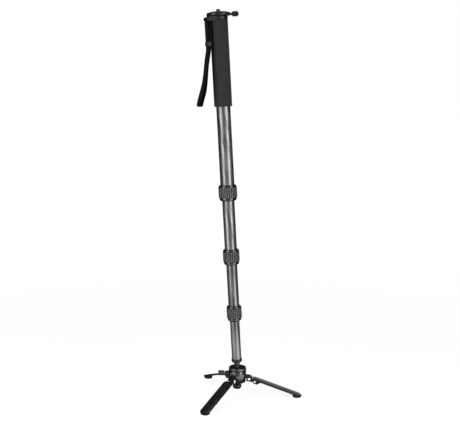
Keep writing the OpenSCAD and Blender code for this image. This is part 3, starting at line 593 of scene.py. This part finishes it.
def strap():
    """one closed band of webbing: a strip of its width, drawn along the run, then thickened"""
    path = strap_path()
    bm = bmesh.new()
    strip = [bm.verts.new((path[0].x, STRAP_W * (i / 8 - 0.5), path[0].y)) for i in range(9)]
    edges = [bm.edges.new(pair) for pair in zip(strip, strip[1:])]
    uv = bm.loops.layers.uv.new("cloth")
    gone = 0.0
    for a, b in zip(path, path[1:]):
        out = bmesh.ops.extrude_edge_only(bm, edges=edges)["geom"]
        verts = [g for g in out if isinstance(g, bmesh.types.BMVert)]
        edges = [g for g in out if isinstance(g, bmesh.types.BMEdge)]
        bmesh.ops.translate(bm, verts=verts, vec=(b.x - a.x, 0, b.y - a.y))
        for face in [g for g in out if isinstance(g, bmesh.types.BMFace)]:
            for loop in face.loops:
                along = gone + ((b - a).length if loop.vert in verts else 0)
                loop[uv].uv = (loop.vert.co.y * MM, along * MM)
        gone += (b - a).length
    bmesh.ops.remove_doubles(bm, verts=bm.verts, dist=WELD)
    bmesh.ops.recalc_face_normals(bm, faces=bm.faces)
    band = place("wrist_strap_webbing", bm, STRAP_SIDE, WEBBING, "strap", ("wrist_strap",),
                 sharp=180)
    thick = band.modifiers.new("thickness", "SOLIDIFY")
    thick.thickness = (STRAP_T - 0.1) * MM
    thick.offset = 0
    thick.use_even_offset = True
    edge = band.modifiers.new("selvedge", "BEVEL")
    edge.width = SELVEDGE * MM
    edge.segments = 2
    edge.limit_method = "ANGLE"
    edge.angle_limit = math.radians(50)


def stitches():
    """a sewn box on each run under the bracket, where the webbing is closed into a loop; it ends
    above the keeper's travel"""
    bm = bmesh.new()
    for run_x, out in STITCH_RUNS:
        for row in STITCH_ACROSS:
            for k in range(STITCH_COUNT):
                stitch = bmesh.ops.create_uvsphere(bm, u_segments=8, v_segments=6,
                                                   radius=1)["verts"]
                bmesh.ops.scale(bm, verts=stitch, vec=STITCH_SIZE)
                bmesh.ops.translate(bm, verts=stitch, vec=(
                    run_x + out * STITCH_OUT, row, STITCH_LOW + STITCH_STEP * k))
    uv = bm.loops.layers.uv.new("cloth")
    for face in bm.faces:
        for loop in face.loops:
            loop[uv].uv = (loop.vert.co.y * MM, loop.vert.co.z * MM)
    place("wrist_strap_stitching", bm, STRAP_SIDE, THREAD, "strap", ())


strap()
stitches()
eased("strap_keeper", 0.4, KEEPER_PLASTIC, "keeper")

# ---- floor, light and camera, in metres

# the floor's own glow, and how pale its matt part is, which takes the shadow
FLOOR_GLOW, FLOOR_MATT = 0.87, 0.22
# the dark studio's level towards the camera's side and towards the back
WORLD_FRONT, WORLD_BACK = 0.3, 0.1
# what mirrors see of the pale floor and wall on the camera's side
FILL_FLOOR, FILL_WALL = 0.6, 0.6
# how far from the middle the floor's glow and its fill come up
GLOW_RISE, FILL_RISE = (0.6, 2.5), (0.45, 0.9)
# where each panel fades in. The first three pairs are of a direction's y, which is 1 straight
# behind the object and -1 at the camera, and the tops are of its z
SWEEP_FOOT, SWEEP_WALL, FILL_SIDE = (0.955, 0.99), (0.86, 0.92), (-0.75, -0.92)
SWEEP_TOP, FILL_TOP = (0.32, 0.28), (0.35, 0.2)
# the middle of the shaft, at which the softboxes are aimed
LIT = Vector((-0.04, 0, 0.6))
# how many degrees each softbox stands round from the camera, and the level of the card below it
SOFTBOXES = {"left": (-50, 1.6), "right": (48, 2.4)}
SOFTBOX_AWAY, SOFTBOX_SIZE, SOFTBOX_WATTS = 0.95, (0.5, 1.2), 9
TOP_AT, TOP_AIM, TOP_SIZE, TOP_WATTS = (0.1, 0.2, 2.4), (0, 0, 0.4), (1.2, 1.2), 10
CARD_SIZE, CARD_NEAR = (0.4, 0.7), 0.14
# the camera stands where the photograph's did: 1.9 m off, looking so many degrees down
CAMERA_AT, CAMERA_DOWN, CAMERA_ROLL, LENS_MM = (-0.0495, -1.8802, 0.6864), 7.62, 1.3, 65.35


def panel(tree, direction, side, top):
    """1 in the directions where a pale panel hangs: to one side, and lower than its top"""
    facing = add(tree, "ShaderNodeVectorMath", {0: direction}, operation="NORMALIZE")
    axes = add(tree, "ShaderNodeSeparateXYZ", {0: facing})
    beside, below = (add(tree, "ShaderNodeMapRange", {0: axes.outputs[i], 1: edge[0], 2: edge[1]},
                         interpolation_type="SMOOTHSTEP") for i, edge in ((1, side), (2, top)))
    return add(tree, "ShaderNodeMath", {0: beside, 1: below}, operation="MULTIPLY")


def white_to_rays(tree, direction, sweep, fill, dim):
    """1 for the camera and through glass. Mirrors see the white sweep behind the object, the fill
    on the camera's side, and dim elsewhere, as all matt surfaces do."""
    front = add(tree, "ShaderNodeMath", {0: panel(tree, direction, FILL_SIDE, FILL_TOP), 1: fill},
                operation="MULTIPLY")
    panels = add(tree, "ShaderNodeMath", {
        0: panel(tree, direction, sweep, SWEEP_TOP), 1: front}, operation="MAXIMUM")
    rays = add(tree, "ShaderNodeLightPath")
    seen = add(tree, "ShaderNodeMath", {0: rays.outputs["Is Camera Ray"],
                                        1: rays.outputs["Is Transmission Ray"]},
               operation="MAXIMUM")
    mirrored = add(tree, "ShaderNodeMath", {0: rays.outputs["Is Glossy Ray"], 1: panels},
                   operation="MULTIPLY")
    both = add(tree, "ShaderNodeMath", {0: seen, 1: mirrored}, operation="MAXIMUM")
    return add(tree, "ShaderNodeMapRange", {0: both, 3: dim, 4: 1.0})


def floor():
    """a pale sweep that is white to the camera and keeps the object's shadow"""
    bm = bmesh.new()
    bmesh.ops.create_grid(bm, x_segments=1, y_segments=1, size=30)
    mat, tree = blank("white_sweep")
    where = add(tree, "ShaderNodeTexCoord").outputs["Object"]
    away = add(tree, "ShaderNodeVectorMath", {0: where}, operation="LENGTH").outputs["Value"]
    # the lamps light the sweep less far off, where its own glow makes up for it
    evened = add(tree, "ShaderNodeMapRange", {
        0: away, 1: GLOW_RISE[0], 2: GLOW_RISE[1], 3: FLOOR_GLOW, 4: 1.0})
    fill = add(tree, "ShaderNodeMapRange", {
        0: away, 1: FILL_RISE[0], 2: FILL_RISE[1], 3: 0, 4: FILL_FLOOR})
    white = white_to_rays(tree, where, SWEEP_FOOT, fill, 0)
    level = add(tree, "ShaderNodeMath", {0: white, 1: evened}, operation="MULTIPLY")
    glow = add(tree, "ShaderNodeEmission", {"Color": linear("#ffffff"), "Strength": level})
    matt = add(tree, "ShaderNodeBsdfDiffuse", {"Color": [FLOOR_MATT] * 3 + [1]})
    both = add(tree, "ShaderNodeAddShader", {0: glow, 1: matt})
    add(tree, "ShaderNodeOutputMaterial", {"Surface": both})
    ground = made("floor", bm, mat)
    ground.location.z = -0.0002


def softbox(name, where, target, size, power):
    """a rectangular lamp, aimed at the target"""
    lamp = bpy.data.lights.new(name, "AREA")
    lamp.shape = "RECTANGLE"
    lamp.size, lamp.size_y = size
    lamp.energy = power
    holder = bpy.data.objects.new(name, lamp)
    holder.location = where
    aim = Vector(target) - Vector(where)
    holder.rotation_euler = aim.to_track_quat("-Z", "Y").to_euler()
    bpy.context.scene.collection.objects.link(holder)


def low_card(name, azimuth, level):
    """a card on the floor under a softbox, that only shiny surfaces see: it carries the softbox's
    reflection down the lower tubes and the hub"""
    bm = bmesh.new()
    bmesh.ops.create_grid(bm, x_segments=1, y_segments=1, size=0.5)
    bmesh.ops.scale(bm, vec=(*CARD_SIZE, 1), verts=bm.verts)
    bmesh.ops.translate(bm, vec=(0, -CARD_NEAR - CARD_SIZE[1] / 2, 0.002), verts=bm.verts)
    mat, tree = blank(name)
    glow = add(tree, "ShaderNodeEmission", {"Color": linear("#ffffff"), "Strength": level})
    add(tree, "ShaderNodeOutputMaterial", {"Surface": glow})
    card = made(name, bm, mat)
    card.location = (LIT.x, 0, 0)
    card.rotation_euler.z = math.radians(azimuth)
    for sense in ("camera", "diffuse", "transmission", "volume_scatter", "shadow"):
        setattr(card, "visible_" + sense, False)


def studio():
    """the world: dark, with the white wall behind and the pale one on the camera's side"""
    world = bpy.data.worlds.new("studio")
    bpy.context.scene.world = world
    world.use_nodes = True
    tree = world.node_tree
    tree.nodes.clear()
    facing = add(tree, "ShaderNodeTexCoord").outputs["Generated"]
    front_to_back = add(tree, "ShaderNodeSeparateXYZ", {0: facing}).outputs[1]
    dim = add(tree, "ShaderNodeMapRange", {
        0: front_to_back, 1: -1, 2: 0.3, 3: WORLD_FRONT, 4: WORLD_BACK})
    level = white_to_rays(tree, facing, SWEEP_WALL, FILL_WALL, dim)
    sky = add(tree, "ShaderNodeBackground", {"Color": (1, 1, 1, 1), "Strength": level})
    add(tree, "ShaderNodeOutputWorld", {"Surface": sky})


def camera():
    """the photograph's viewpoint and frame"""
    lens = bpy.data.cameras.new("camera")
    lens.sensor_width = 36
    lens.lens = LENS_MM
    lens.clip_start, lens.clip_end = 0.05, 100
    holder = bpy.data.objects.new("camera", lens)
    holder.matrix_world = (Matrix.Translation(CAMERA_AT)
                           @ Matrix.Rotation(math.radians(90 - CAMERA_DOWN), 4, "X")
                           @ Matrix.Rotation(math.radians(CAMERA_ROLL), 4, "Z"))
    bpy.context.scene.collection.objects.link(holder)
    bpy.context.scene.camera = holder


floor()
for side, (azimuth, card_level) in SOFTBOXES.items():
    toward = Vector((math.sin(math.radians(azimuth)), -math.cos(math.radians(azimuth)), 0))
    softbox(side + "_softbox", LIT + SOFTBOX_AWAY * toward, LIT, SOFTBOX_SIZE, SOFTBOX_WATTS)
    low_card(side + "_low_card", azimuth, card_level)
softbox("top_softbox", TOP_AT, TOP_AIM, TOP_SIZE, TOP_WATTS)
studio()
camera()
bpy.context.scene.view_settings.view_transform = "Standard"

bpy.context.view_layer.update()
